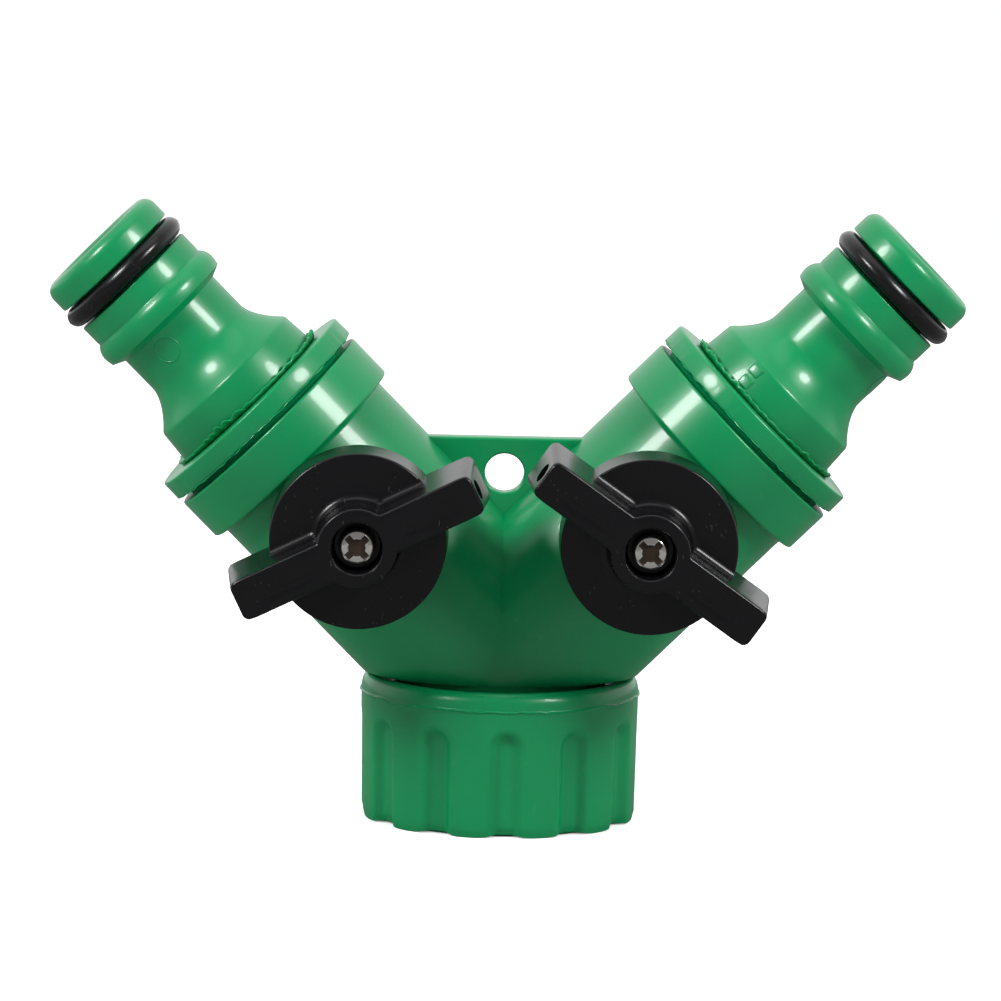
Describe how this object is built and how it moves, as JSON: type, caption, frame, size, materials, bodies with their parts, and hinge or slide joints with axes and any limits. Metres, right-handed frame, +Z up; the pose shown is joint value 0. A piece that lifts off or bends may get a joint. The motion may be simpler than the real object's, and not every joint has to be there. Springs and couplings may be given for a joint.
{
  "type": "garden hose splitter",
  "caption": "Y-shaped hose splitter: a threaded swivel inlet feeds angled arms that end in snap-in hose nipples, each with its own quarter-turn ball valve and bar handle.",
  "frame": {"origin": "centre of the overall bounding box in X and Y, at the bottom face of the swivel nut", "axes": "+Z up along the inlet axis, from the nut towards the arms; +X to the right arm; -Y to the front, where the handles are. The two arms lie in the X-Z plane at y = 5 mm, each at 45 degrees"},
  "size_m": [0.105, 0.042, 0.0706],
  "materials": {
    "green_body": "glossy moulded green plastic, very slightly translucent",
    "black_handle": "satin-gloss moulded black plastic",
    "black_rubber": "smooth black rubber with a greasy sheen",
    "white_inner": "off-white low-friction plastic",
    "bright_screw": "bright plated steel"
  },
  "bodies": {
    "housing": {"y_housing": "green_body", "left_inner_seat": "white_inner", "left_outer_seat": "white_inner", "left_end_cap": "green_body", "left_nipple": "green_body", "left_nipple_oring": "black_rubber", "right_inner_seat": "white_inner", "right_outer_seat": "white_inner", "right_end_cap": "green_body", "right_nipple": "green_body", "right_nipple_oring": "black_rubber"},
    "nut": {"swivel_nut": "green_body", "hose_washer": "black_rubber"},
    "left_valve": {"left_valve_ball": "white_inner", "left_valve_stem": "white_inner", "left_knob": "black_handle", "left_knob_screw": "bright_screw", "left_stem_oring": "black_rubber"},
    "right_valve": {"right_valve_ball": "white_inner", "right_valve_stem": "white_inner", "right_knob": "black_handle", "right_knob_screw": "bright_screw", "right_stem_oring": "black_rubber"}
  },
  "joints": [
    {"name": "nut_swivel", "type": "hinge", "parent": "housing", "child": "nut", "pos_m": [0, 0.005, 0], "axis": [0, 0, 1], "continuous": true},
    {"name": "left_valve_turn", "type": "hinge", "parent": "housing", "child": "left_valve", "pos_m": [-0.01637, 0.005, 0.03447], "axis": [0, -1, 0], "range_deg": [-71, 19]},
    {"name": "right_valve_turn", "type": "hinge", "parent": "housing", "child": "right_valve", "pos_m": [0.01637, 0.005, 0.03447], "axis": [0, -1, 0], "range_deg": [-10, 80]}
  ]
}
